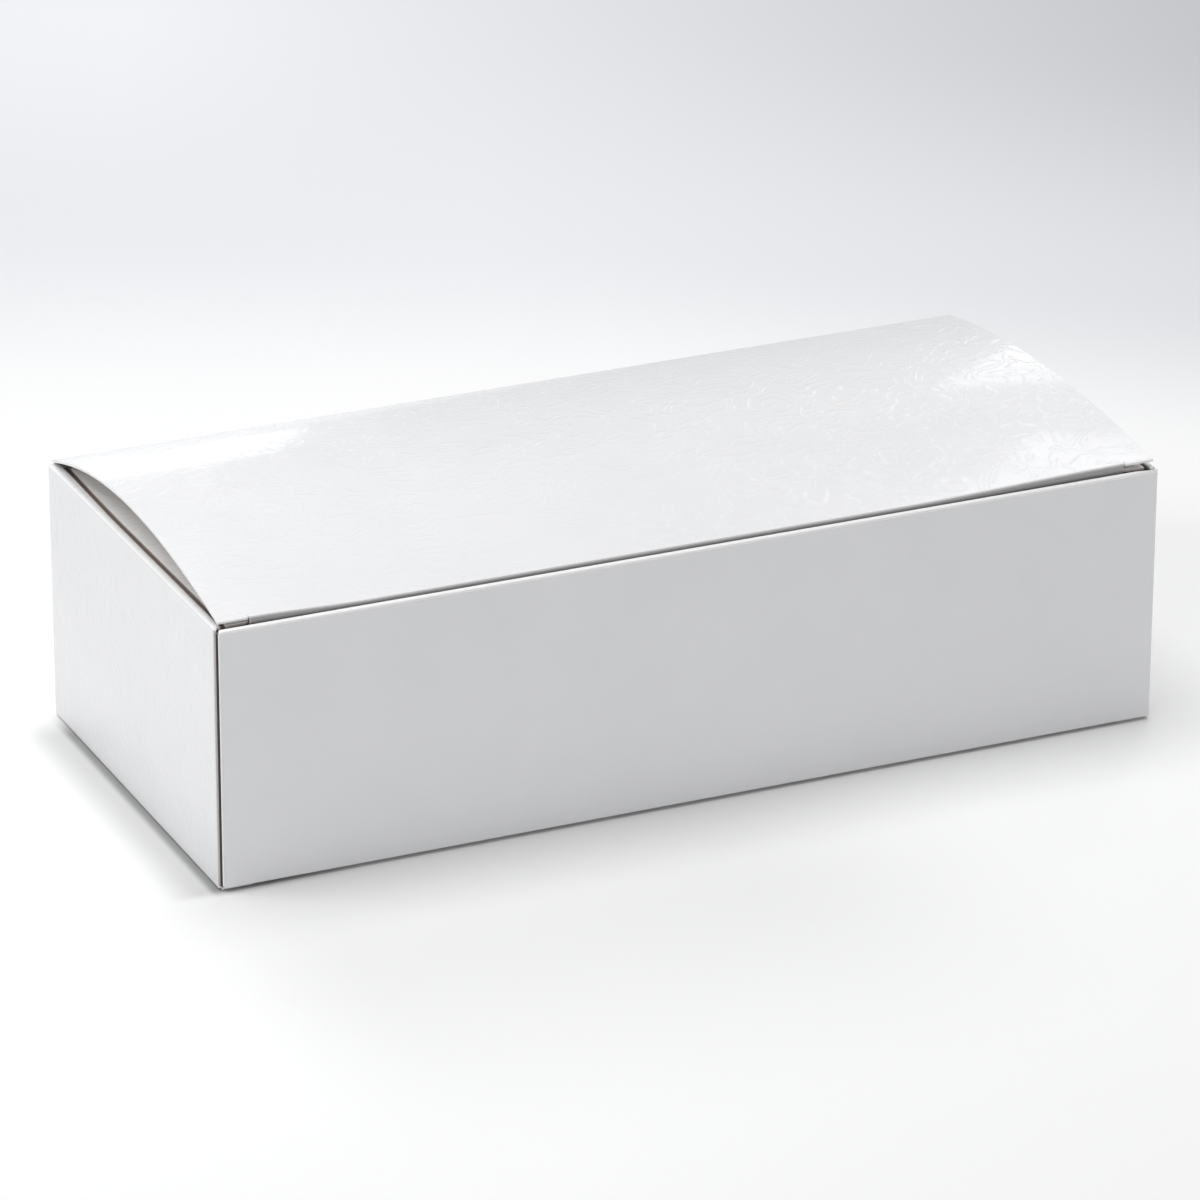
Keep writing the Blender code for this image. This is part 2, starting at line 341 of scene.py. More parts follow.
def coated(name, dark, light):
    """Glossy clay coating: faint mottle and paper tooth, under a varnish whose shallow
    worm-like relief shows only in its reflections, most of all on level faces."""
    material, tree = new_material(name)
    place = object_coordinates(tree)
    mottle = noise(tree, place, scale=45.0, detail=4.0, roughness=0.55)
    colour = ramp(tree, mottle, ((0.30, dark), (0.70, light)))
    tooth = noise(tree, place, scale=1400.0, detail=2.0)
    swell = noise(tree, place, scale=24.0, detail=1.0, roughness=0.4)
    normal = bump(tree, tooth, distance=0.000004, strength=0.10)
    normal = bump(tree, swell, distance=0.00012, strength=0.20, normal=normal)

    field = noise(tree, place, scale=110.0, detail=1.0, roughness=0.4, distortion=0.8)
    rings = math_node(tree, "SINE", product(tree, field, RELIEF_RINGS))
    worms = map_range(tree, rings, (0.2, 1.0), (0.0, 1.0), smooth=True)
    patches = noise(tree, place, scale=18.0, detail=2.0)
    patches = map_range(tree, patches, (0.30, 0.50), (0.35, 1.0), smooth=True)
    on_top = map_range(tree, facing(tree, "Z"), (0.3, 0.9), (0.3, 1.0))
    relief = product(tree, worms, patches, on_top)
    varnish = bump(tree, relief, distance=0.00008, strength=1.0, normal=normal)

    rough = map_range(tree, noise(tree, place, scale=160.0), (0.3, 0.7), (0.30, 0.36))
    shader = principled(tree, colour, normal, rough,
                        Coat_Weight=0.6, Coat_Roughness=0.08, IOR=COATING_IOR)
    tree.links.new(varnish, shader.inputs["Coat Normal"])
    return material


def uncoated_inside():
    """The board's plain inner side: warmer, matt, with short fibres."""
    material, tree = new_material("uncoated_inside")
    place = object_coordinates(tree)
    fibres = noise(tree, place, scale=900.0, detail=5.0, roughness=0.7, distortion=1.2)
    cloud = noise(tree, place, scale=60.0)
    colour = ramp(tree, weighted(tree, fibres, 0.5, cloud, 0.5),
                  ((0.30, (0.850, 0.828, 0.808)), (0.70, (0.905, 0.888, 0.872))))
    normal = bump(tree, fibres, distance=0.00003, strength=0.5)
    principled(tree, colour, normal, 0.78, IOR=FIBRE_IOR)
    return material


def raw_edge():
    """The die-cut edge: pressed fibre layers, a little warmer than the coating."""
    material, tree = new_material("raw_edge")
    place = object_coordinates(tree)
    fibres = noise(tree, place, scale=3200.0, detail=4.0, roughness=0.7)
    nicks = noise(tree, place, scale=420.0, roughness=0.6)
    colour = ramp(tree, weighted(tree, fibres, 0.55, nicks, 0.45),
                  ((0.30, (0.915, 0.905, 0.898)), (0.60, (0.965, 0.962, 0.960))))
    normal = bump(tree, fibres, distance=0.00004, strength=0.5)
    principled(tree, colour, normal, 0.85, IOR=FIBRE_IOR)
    return material


def fibres_painted_shade(name, dark, light):
    """Bare fibres in a dark tone, used as painted shade at the bottom of a cut crease, behind the
    seam and on a dust flap's cut edge.
    """
    material, tree = new_material(name)
    fibres = noise(tree, object_coordinates(tree), scale=2400.0, detail=4.0, roughness=0.7)
    colour = ramp(tree, fibres, ((0.30, dark), (0.70, light)))
    normal = bump(tree, fibres, distance=0.00005, strength=0.6)
    principled(tree, colour, normal, 0.9, IOR=FIBRE_IOR)
    return material


def pressed_edge_highlight():
    """The line where the die pressed the coating over the cut edge, painted lighter than the
    coating as a highlight on edges and ridges.
    """
    material, tree = new_material("pressed_edge_highlight")
    wear = noise(tree, object_coordinates(tree), scale=900.0, roughness=0.6)
    colour = ramp(tree, wear, ((0.30, (0.955, 0.953, 0.953)), (0.70, (0.985, 0.984, 0.984))))
    normal = bump(tree, wear, distance=0.00001, strength=0.4)
    principled(tree, colour, normal, 0.45, IOR=COATING_IOR)
    return material


def creased_painted_shade(name, axis, stops):
    """The coating along a fold, painted darker as shade where the fold turns away from an axis,
    with fine cracks in its bump.
    """
    material, tree = new_material(name)
    cracks = noise(tree, object_coordinates(tree), scale=1800.0, roughness=0.6)
    wander = product(tree, math_node(tree, "SUBTRACT", cracks, 0.5), 0.12)
    turned = math_node(tree, "ADD", facing(tree, axis), wander)
    normal = bump(tree, cracks, distance=0.00001, strength=0.4)
    principled(tree, ramp(tree, turned, stops), normal, 0.45,
               Coat_Weight=0.2, Coat_Roughness=0.3, IOR=COATING_IOR)
    return material


COATED = coated("coated_white", (0.845, 0.848, 0.862), (0.868, 0.870, 0.880))
# Painted light: the dust flaps' coating is lighter and warmer than the walls', for the light and
# the warm bounce that reach them under the lid.
FLAP_PAINTED_LIGHT = coated("coated_flap_painted_light", (0.950, 0.930, 0.920), (0.970, 0.955, 0.948))
INSIDE = uncoated_inside()
EDGE = raw_edge()
# Painted shade: the ligament at the bottom of a dust flap's crease is dark brown for the shade in
# the narrow crease.
CREASE_PAINTED_SHADE = fibres_painted_shade("ligament_painted_shade", (0.130, 0.095, 0.082), (0.250, 0.195, 0.172))
# Painted shade: near-black fibres behind the front left seam, for the shade in its gap.
SEAM_PAINTED_SHADE = fibres_painted_shade("seam_painted_shade", (0.060, 0.048, 0.044), (0.110, 0.088, 0.080))
# Painted shade: a dust flap's cut edge is darker than the raw edge elsewhere, for its shade in the
# crease.
FLAP_EDGE_SHADE = fibres_painted_shade("flap_edge_painted_shade", (0.520, 0.460, 0.435), (0.660, 0.600, 0.570))
# Painted highlight: a line lighter than the coating on the softened edges, the end walls' ridges
# and the front panel's curled top.
PRESSED_HIGHLIGHT = pressed_edge_highlight()
# Painted shade: a closure's front fold and the top of its tuck flap darken as they turn to face the
# front.
CREASED_PAINTED_SHADE = creased_painted_shade("creased_painted_shade", "Z", (
    (0.20, (0.40, 0.39, 0.39)), (0.45, (0.49, 0.48, 0.48)),
    (0.75, (0.64, 0.635, 0.64)), (0.95, (0.857, 0.859, 0.871))))
# Painted shade: the front left corner darkens as it turns from the end face to the front.
SEAM_FOLD_PAINTED_SHADE = creased_painted_shade("seam_fold_painted_shade", "X", (
    (0.55, (0.47, 0.455, 0.45)), (0.80, (0.47, 0.46, 0.46)),
    (0.93, (0.60, 0.595, 0.60)), (0.995, (0.857, 0.859, 0.871))))

# Materials of a sheet. A face of its outside skin has one of them, its inner side and its
# rim have the next two, and the softened edges have the last.
PANEL_MATERIALS = (COATED, INSIDE, EDGE, CREASED_PAINTED_SHADE, INSIDE, PRESSED_HIGHLIGHT)
WALL_MATERIALS = (COATED, INSIDE, EDGE, SEAM_PAINTED_SHADE, INSIDE, SEAM_FOLD_PAINTED_SHADE, INSIDE, PRESSED_HIGHLIGHT)
DUST_MATERIALS = (FLAP_PAINTED_LIGHT, INSIDE, FLAP_EDGE_SHADE, PRESSED_HIGHLIGHT)
LIGAMENT_MATERIALS = (CREASE_PAINTED_SHADE, CREASE_PAINTED_SHADE, CREASE_PAINTED_SHADE)
PLAIN_SKIN = 0
CREASED_SHADE_SKIN = 3
SEAM_SHADE_SKIN = 3
SEAM_FOLD_SHADE_SKIN = 5
PRESSED_HIGHLIGHT_SKIN = 7


# Sheets of board

def clamped(value):
    return min(1.0, max(0.0, value))


def eased(share):
    """0 to 1, level at both ends."""
    return share * share * (3 - 2 * share)


def arch(share):
    """0 at both ends and 1 in the middle, with a slope of 4 and -4 at its ends."""
    return 4 * share * (1 - share)


def ripple(x, y, z):
    """A slight unevenness of a few hundredths of a millimetre that every panel has."""
    waves = [math.sin(in_x * x + in_y * y + in_z * z + phase)
             for in_x, in_y, in_z, phase in PANEL_WAVES]
    return PANEL_WAVE * sum(waves) / len(waves)


def board_object(name, bm, outward=None, thickness=BOARD, soften=EDGE_SOFTNESS,
                 materials=PANEL_MATERIALS):
    """Gives an outside skin its thickness, inner side, raw edges and softened corners. The
    skin faces outward, or stays as it is."""
    bmesh.ops.recalc_face_normals(bm, faces=bm.faces)
    if outward is not None:
        total = sum((face.normal * face.calc_area() for face in bm.faces), Vector())
        if total.dot(outward) < 0:
            bmesh.ops.reverse_faces(bm, faces=bm.faces)
    mesh = bpy.data.meshes.new(name)
    for face in bm.faces:
        face.smooth = True
    bm.to_mesh(mesh)
    bm.free()
    for material in materials:
        mesh.materials.append(material)
    piece = bpy.data.objects.new(name, mesh)
    bpy.context.scene.collection.objects.link(piece)
    solidify = piece.modifiers.new("board_thickness", "SOLIDIFY")
    solidify.thickness = thickness
    solidify.offset = -1.0
    solidify.use_even_offset = True
    solidify.material_offset = 1
    solidify.material_offset_rim = 2
    bevel = piece.modifiers.new("soft_edges", "BEVEL")
    bevel.width = soften
    bevel.segments = 2
    bevel.limit_method = "ANGLE"
    bevel.angle_limit = math.radians(50)
    bevel.use_clamp_overlap = True
    # The softened edges take the last material: the painted highlight, or the ligament's painted
    # shade.
    bevel.material = len(mesh.materials) - 1
    piece.modifiers.new("even_shading", "WEIGHTED_NORMAL").keep_sharp = True
    return piece


def add_strip(bm, base, steps, place, skin=PLAIN_SKIN):
    """Adds rows of faces beyond a row of vertices. place gives a point for each one."""
    previous = base
    for step in range(1, steps + 1):
        row = [bm.verts.new(place(vert.co, step / steps)) for vert in base]
        for corners in zip(previous, previous[1:], row[1:], row):
            bm.faces.new(corners).material_index = skin
        previous = row
    return previous


def add_grid(bm, rows, skin=PLAIN_SKIN):
    """Joins rows of points with faces."""
    rows = [[bm.verts.new(point) for point in row] for row in rows]
    for first, second in zip(rows, rows[1:]):
        for corners in zip(first, second, second[1:], first[1:]):
            bm.faces.new(corners).material_index = skin


def cut_across(bm, point, normal):
    bmesh.ops.bisect_plane(bm, geom=bm.verts[:] + bm.edges[:] + bm.faces[:],
                           plane_co=point, plane_no=normal)


def spaced(low, high, step=COLUMN):
    count = max(1, round(abs(high - low) / step))
    return [low + (high - low) * index / count for index in range(count + 1)]


def corner_arc(cx, cy, start, end):
    """Points round a vertical fold, seen in plan, with the angles in degrees."""
    angles = [math.radians(start + (end - start) * step / CORNER_STEPS)
              for step in range(CORNER_STEPS + 1)]
    return [(cx + CORNER_FOLD * math.cos(angle), cy + CORNER_FOLD * math.sin(angle))
            for angle in angles]


def widening(y):
    """How much wider a dust flap's crease is at y than at the front."""
    share = clamped((y - VALLEY_WIDENS_FROM) / (HALF_DEPTH - VALLEY_WIDENS_FROM))
    return VALLEY_WIDENING * eased(share)


# Carton walls: one sheet, whose runs seen in plan go from the glue flap round to the front

GLUE, FRONT_LEFT, LEFT, REAR_LEFT, BACK, REAR_RIGHT, RIGHT, FRONT_RIGHT, FRONT = range(9)
CURL = 8 / math.pi ** 2         # a quarter turn's reach for a path of 1, see front_top


def wall_path():
    """Points round the walls in plan, and the first and last index of each run."""
    glue = [(x, SEAM_Y) for x in reversed(spaced(-CORNER_X, GLUE_END_X, GLUE_COLUMN))]
    front_left = corner_arc(-CORNER_X, FRONT_CORNER_Y, 270, 180)
    left = [(-HALF_LENGTH, y) for y in spaced(FRONT_CORNER_Y, REAR_CORNER_Y)]
    rear_left = corner_arc(-CORNER_X, REAR_CORNER_Y, 180, 90)
    back_end = END_FOLD_X - GAP
    back = [(x, HALF_DEPTH) for x in (-CORNER_X, *spaced(-back_end, back_end), CORNER_X)]
    rear_right = corner_arc(CORNER_X, REAR_CORNER_Y, 90, 0)
    front_fold = -HALF_DEPTH + CORNER_FOLD
    right = [(HALF_LENGTH, y) for y in reversed(spaced(front_fold, REAR_CORNER_Y))]
    front_right = corner_arc(CORNER_X, front_fold, 0, -90)
    rounded_x = FRONT_EDGE_X + FRONT_CORNER_RADIUS
    front_xs = spaced(FRONT_EDGE_X, rounded_x, FRONT_EDGE_COLUMN) + spaced(rounded_x, CORNER_X)[1:]
    front = [(x, -HALF_DEPTH) for x in reversed(front_xs)]

    path, spans = [], []
    for run in (glue, front_left, left, rear_left, back, rear_right, right, front_right, front):
        start = len(path) - 1 if path else 0
        path += run[1:] if path else run
        spans.append((start, len(path) - 1))
    return path, spans


def wall_column(bm, x, y, low, high):
    """The vertices up a wall at a point of its path, with the panel's slight unevenness."""
    column = []
    on_side = abs(abs(x) - HALF_LENGTH) < EQUAL
    on_face = abs(abs(y) - HALF_DEPTH) < EQUAL
    for row in range(WALL_ROWS + 1):
        z = low + (high - low) * row / WALL_ROWS
        push = ripple(x, y, z) * arch(row / WALL_ROWS)
        column.append(bm.verts.new((x + math.copysign(push, x) * on_side,
                                    y + math.copysign(push, y) * on_face, z)))
    return column


def rolled(normal, sign, full, radius=FOLD):
    """Rolls a rim inwards by the full angle, upwards for sign 1 and downwards for -1."""
    def place(co, share):
        angle = full * share
        return co + Vector(normal) * radius * (math.cos(angle) - 1) \
            + Vector((0, 0, sign * radius * math.sin(angle)))
    return place


def rolled_round(cx, cy):
    """Rolls the rim of an upright corner in towards its centre."""
    def place(co, share):
        outward = Vector((co.x - cx, co.y - cy, 0)).normalized()
        return rolled(outward, 1, CORNER_ROLL)(co, share)
    return place


def up_to(height):
    return lambda co, share: Vector((co.x, co.y, co.z + (height - co.z) * share))


def into_valley(side):
    """Takes an end wall's rolled-over rim down into the crease of its dust flap."""
    def place(co, share):
        inward = VALLEY_LENGTH * math.sin(ROLL_OVER) + widening(co.y)
        fall = VALLEY_LENGTH * math.cos(ROLL_OVER)
        return co + Vector((-side * inward, 0, fall)) * share
    return place


def corner_drop(x):
    """How far the rounded cut corners hold the front panel's ends back at x."""
    inside = FRONT_CORNER_RADIUS - (x - FRONT_EDGE_X)
    if inside <= 0:
        return 0.0
    return FRONT_CORNER_RADIUS - math.sqrt(max(0.0, FRONT_CORNER_RADIUS ** 2 - inside ** 2))


def front_top(co, share):
    """The pressed top edge of the front panel goes over inwards by a quarter turn, with a
    fine groove. The turn grows with the root of the path, so the edge bends most at first."""
    on_front = co.y < -HALF_DEPTH + ON_FRONT
    height = FOLD - FRONT_TOP_DROP - corner_drop(co.x)
    fade = clamped((CORNER_X - co.x) / FRONT_TOP_FADE) * on_front
    curl = min(FRONT_TOP_PATH, FRONT_TOP_CURL * height) * fade
    straight = height - curl * CURL * (math.pi / 2 - 1)
    into_curl = share * (straight + curl) - straight
    if into_curl <= 0 or curl < EQUAL:
        return co + Vector((0, 0, min(share * (straight + curl), height)))
    root = math.sqrt(into_curl / curl)
    turn = math.pi / 2 * root
    in_y = CURL * (math.sin(turn) - turn * math.cos(turn))
    in_z = CURL * (turn * math.sin(turn) + math.cos(turn) - 1)
    from_groove = (root ** 2 - FRONT_GROOVE_AT) / FRONT_GROOVE_WIDTH
    groove = FRONT_TOP_GROOVE * fade * math.exp(-from_groove ** 2)
    return co + Vector((0, curl * in_y + groove * math.cos(turn),
                        straight + curl * in_z - groove * math.sin(turn)))


def front_foot(co, share):
    """Takes the front panel down to its lower edge, with its rounded corners."""
    return co + Vector((0, 0, (WALL_BOTTOM + corner_drop(co.x) - co.z) * share))


def build_carton_walls():
    """Raises the walls from their path, then shapes the rims of each run."""
    path, spans = wall_path()
    high = WALL_TOP - FOLD
    bm = bmesh.new()
    columns = []
    for index, (x, y) in enumerate(path):
        cut = 0.0
        on_table = spans[FRONT_LEFT][0] <= index <= spans[FRONT_RIGHT][0]
        low = FOLD if on_table else WALL_BOTTOM + FOLD
        if index < spans[GLUE][1]:
            away = x + CORNER_X
            cut = min(away, GAP) / GAP * (GLUE_END_CUT - FOLD) + away * math.tan(GLUE_TAPER)
        columns.append(wall_column(bm, x, y, low + cut, high - cut))
    hidden, turned = spans[FRONT_LEFT][0] + HIDDEN_STEPS, spans[FRONT_LEFT][1]
    for index, (first, second) in enumerate(zip(columns, columns[1:])):
        # The glue flap and the hidden corner steps take the painted seam shade, the rest of the
        # front left corner the painted shade of its turn.
        skin = SEAM_SHADE_SKIN if index < hidden else SEAM_FOLD_SHADE_SKIN if index < turned else PLAIN_SKIN
        for corners in zip(first, second, second[1:], first[1:]):
            bm.faces.new(corners).material_index = skin

    def rim(first, last, row):
        return [column[row] for column in columns[first:last + 1]]

    for span, side in ((LEFT, -1), (RIGHT, 1)):
        normal = (side, 0, 0)
        over = add_strip(bm, rim(*spans[span], -1), ROLL_OVER_STEPS, rolled(normal, 1, ROLL_OVER))
        # The ridge along the rolled-over top takes the painted highlight.
        for face in bm.faces:
            middle = face.calc_center_median()
            inset = HALF_LENGTH - side * middle.x
            if middle.z > high and RIDGE_INSETS[0] < inset < RIDGE_INSETS[1]:
                face.material_index = PRESSED_HIGHLIGHT_SKIN
        add_strip(bm, over, VALLEY_STEPS, into_valley(side))
        foot = add_strip(bm, rim(*spans[span], 0), 1, up_to(FOOT_BOTTOM + FOOT_RADIUS))
        add_strip(bm, foot, ROLL_STEPS, rolled(normal, -1, math.pi / 2, FOOT_RADIUS))

    half = FOLD_MIDDLE - SPLIT
    back_rim = rim(*spans[BACK], -1)[1:-1]
    back_top = add_strip(bm, back_rim, BACK_TOP_STEPS, up_to(BACK_TOP - FOLD))
    add_strip(bm, back_top, LIP_STEPS, rolled((0, 1, 0), 1, half))
    add_strip(bm, rim(*spans[BACK], 0)[1:-1], LIP_STEPS, rolled((0, 1, 0), -1, half))

    for span, centre in ((FRONT_LEFT, (-CORNER_X, FRONT_CORNER_Y)),
                         (REAR_LEFT, (-CORNER_X, REAR_CORNER_Y)),
                         (REAR_RIGHT, (CORNER_X, REAR_CORNER_Y))):
        first, last = spans[span]
        if span == FRONT_LEFT:
            first = hidden
        start = len(bm.faces)
        add_strip(bm, rim(first, last, -1), CORNER_ROLL_STEPS, rolled_round(*centre))
        # The lower part of the front left corner's roll takes the painted shade of the corner.
        if span == FRONT_LEFT:
            for face in list(bm.faces)[start:]:
                if face.calc_center_median().z < high + 0.5 * FOLD:
                    face.material_index = SEAM_FOLD_SHADE_SKIN
        add_strip(bm, rim(first, last, 0), 1, up_to(FOLD - CORNER_DROP))

    front_run = spans[FRONT_RIGHT][0], spans[FRONT][1]
    # The curled top edge of the front panel takes the painted highlight.
    add_strip(bm, rim(*front_run, -1), FRONT_TOP_STEPS, front_top, PRESSED_HIGHLIGHT_SKIN)
    add_strip(bm, rim(*front_run, 0), LIP_STEPS, front_foot)
    bmesh.ops.recalc_face_normals(bm, faces=bm.faces)
    rearmost = max(bm.faces, key=lambda face: face.calc_center_median().y)
    if rearmost.normal.y < 0:
        bmesh.ops.reverse_faces(bm, faces=bm.faces)
    piece = board_object("carton_walls", bm, materials=WALL_MATERIALS)
    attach(piece, "carton_walls")
    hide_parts("front_panel", "back_panel", "left_end_panel", "right_end_panel",
                "glue_flap")


# Lid and bottom, with Z up from the edge of the walls that they close

def rear_fold(x, angle):
    """A point of a closure's rear fold, at an angle from straight out towards the front."""
    return Vector((x, REAR_FOLD_Y - FOLD * math.sin(angle),
                   CLOSURE_STEP - FOLD + FOLD * math.cos(angle)))


def lid_front_rise(x):
    """The height of the lid's front edge, which hangs in the middle between its end tabs."""
    left = clamped((x + SLIT_X) / LID_LEFT_RUN)
    right = clamped((SLIT_X - x) / LID_RIGHT_RUN)
    return LID_FRONT_RISE + LID_LEFT_LIFT * (1 - eased(left)) + LID_RIGHT_LIFT * (1 - eased(right))


def front_fold_of(rise_at):
    """The front fold of a closure, as a function of x and the angle round the fold."""
    def front_fold(x, angle):
        return Vector((x, FRONT_CENTRE_Y - FRONT_FOLD * math.sin(angle),
                       rise_at(x) - FRONT_FOLD + FRONT_FOLD * math.cos(angle)))
    return front_fold


def closure_surface(bow_left, bow_right, front_fold):
    """The bowed outside of a closure, as a function of x and the share from rear to front,
    and the angles at which it runs into its two folds."""
    run = REAR_FOLD_Y - FRONT_CENTRE_Y

    def bow_at(x):
        return bow_left + (bow_right - bow_left) * (x + CLOSURE_EDGE_X) / (2 * CLOSURE_EDGE_X)

    def end_angles(x):
        climb = front_fold(x, 0.0).z - CLOSURE_STEP
        rear_slope = (4 * bow_at(x) * (1 + LID_BOW_SKEW) + climb) / run
        front_slope = (4 * bow_at(x) * (1 - LID_BOW_SKEW) - climb) / run
        return -math.atan(rear_slope), math.atan(front_slope)

    def surface(x, share):
        rear_angle, front_angle = end_angles(x)
        point = rear_fold(x, rear_angle).lerp(front_fold(x, front_angle), share)
        crown = arch(share) * (1 + LID_BOW_SKEW * (1 - 2 * share))
        return point + Vector((0, 0, bow_at(x) * crown))

    return surface, end_angles


def build_closure(name, frame_matrix, bow_left, bow_right, front_fold, body, node):
    surface, end_angles = closure_surface(bow_left, bow_right, front_fold)
    bm = bmesh.new()
    tab = spaced(-CLOSURE_EDGE_X, -SLIT_X, TAB_COLUMN)
    middle = spaced(-SLIT_X, SLIT_X)
    xs = tab + middle[1:] + [-x for x in reversed(tab)][1:]
    slit_share = 1 - SLIT_RUN / (REAR_FOLD_Y - FRONT_CENTRE_Y)
    shares = [slit_share * row / CLOSURE_ROWS for row in range(CLOSURE_ROWS + 1)]
    shares += [slit_share + (1 - slit_share) * step / SLIT_STEPS
               for step in range(1, SLIT_STEPS + 1)]
    left_slit, right_slit = len(tab) - 1, len(tab) + len(middle) - 2

    def point(x, share):
        place = surface(x, share)
        return place + Vector((0, 0, ripple(x, place.y, 0.0) * arch(share)))

    grid = [[bm.verts.new(point(x, share)) for share in shares] for x in xs]
    rows = len(shares) - 1
    inner = {}
    for column, side in ((left_slit, 1), (right_slit, -1)):
        for row in range(rows - SLIT_STEPS + 1, rows + 1):
            open_share = (row - rows + SLIT_STEPS) / SLIT_STEPS
            x = xs[column] + side * SLIT_WIDTH * open_share
            inner[column, row] = bm.verts.new(point(x, shares[row]))

    def corner(column, row, face_column):
        """The vertex of a face's corner: beyond a slit, the middle has its own."""
        in_middle = left_slit <= face_column < right_slit
        if in_middle and (column, row) in inner:
            return inner[column, row]
        return grid[column][row]

    for column in range(len(xs) - 1):
        for row in range(rows):
            bm.faces.new((corner(column, row, column), corner(column + 1, row, column),
                          corner(column + 1, row + 1, column), corner(column, row + 1, column)))

    def roll(base, fold, angle_index, end_angle, skin):
        def place(co, share):
            start = end_angles(co.x)[angle_index]
            return fold(co.x, start + (end_angle - start) * share)
        return add_strip(bm, base, ROLL_STEPS, place, skin)

    roll([column[0] for column in grid], rear_fold, 0, -FOLD_MIDDLE + SPLIT, PLAIN_SKIN)
    front = [inner[left_slit, rows]] + [grid[c][rows] for c in range(left_slit + 1, right_slit)] \
        + [inner[right_slit, rows]]
    # The front fold takes the painted shade, darker where it faces the front.
    roll(front, front_fold, 1, TUCK_SPLIT - SPLIT, CREASED_SHADE_SKIN)

    def tab_place(co, share):
        """An end tab goes on almost straight, and turns down a little at its edge."""
        reach = (co.y - END_TAB_EDGE_Y) * share
        slope = math.tan(end_angles(co.x)[1]) * (1 - share) * TAB_SLOPE
        return co + Vector((0, -reach, -reach * slope - TAB_TURN_DOWN * share ** 2))

    for run in (range(0, left_slit + 1), range(right_slit, len(xs))):
        add_strip(bm, [grid[c][rows] for c in run], TAB_STEPS, tab_place)
    bmesh.ops.transform(bm, matrix=frame_matrix, verts=bm.verts)
    piece = board_object(name, bm, frame_matrix.to_3x3() @ Vector((0, 0, 1)))
    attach(piece, body)
    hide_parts(node)


# Flaps

def rounded_outline(bm, outline, radii, segments):
    """A flat face whose corners have the given radii, by their index."""
    corners = [bm.verts.new((u, v, 0.0)) for u, v in outline]
    bm.faces.new(corners)
    for index, radius in radii.items():
        bmesh.ops.bevel(bm, geom=[corners[index]], offset=radius, segments=segments,
                        affect="VERTICES", profile=0.5)


def build_tuck_flap(name, frame_matrix, front_fold, body, node):
    """The flap behind the front panel, with the lower half of its fold."""
    turn = math.pi / 2 + TUCK_LEAN
    bm = bmesh.new()
    outline = [(-TUCK_HALF, -TUCK_DEPTH), (TUCK_HALF, -TUCK_DEPTH), (TUCK_HALF, 0), (-TUCK_HALF, 0)]
    rounded_outline(bm, outline, {0: TUCK_CORNER, 1: TUCK_CORNER}, TUCK_CORNER_STEPS)
    cut_across(bm, (0, -TUCK_SHADED, 0), (0, 1, 0))
    for x in spaced(-TUCK_HALF, TUCK_HALF)[1:-1]:
        cut_across(bm, (x, 0, 0), (1, 0, 0))
    top = [vert for vert in bm.verts if vert.co.y > -EQUAL_VERTEX]
    top.sort(key=lambda vert: vert.co.x)
    # The top of the tuck flap takes the painted shade of the fold.
    for face in bm.faces:
        shaded = face.calc_center_median().y > -TUCK_SHADED
        face.material_index = CREASED_SHADE_SKIN if shaded else PLAIN_SKIN
    downward = Vector((0, math.sin(TUCK_LEAN), -math.cos(TUCK_LEAN)))
    for vert in bm.verts:
        vert.co = front_fold(vert.co.x, turn) - vert.co.y * downward
    add_strip(bm, top, ROLL_STEPS, lambda co, share: front_fold(
        co.x, turn + (TUCK_SPLIT + SPLIT - turn) * share), CREASED_SHADE_SKIN)
    bmesh.ops.transform(bm, matrix=frame_matrix, verts=bm.verts)
    piece = board_object(name, bm, frame_matrix.to_3x3() @ Vector((0, -1, 0)))
    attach(piece, body)
    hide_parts(node)


def lift_flap(bm):
    """Bends a dust flap so that the rear end of its cut edge stands up from the crease."""
    for y in spaced(SEAM_Y, HALF_DEPTH, DUST_ROW)[1:-1]:
        cut_across(bm, (0, y, 0), (0, 1, 0))
    for x in spaced(0.0, DUST_LIFT_RUN, DUST_COLUMN)[1:-1]:
        cut_across(bm, (x, 0, 0), (1, 0, 0))
    rear_run = DUST_REAR_SHARE * 2 * HALF_DEPTH
    for vert in bm.verts:
        from_rear = clamped((HALF_DEPTH - DUST_REAR_SETBACK - vert.co.y) / rear_run)
        fade = max(0.0, 1 - vert.co.x / DUST_LIFT_RUN)
        vert.co.z += DUST_REAR_LIFT * (1 - from_rear) ** 2 * fade


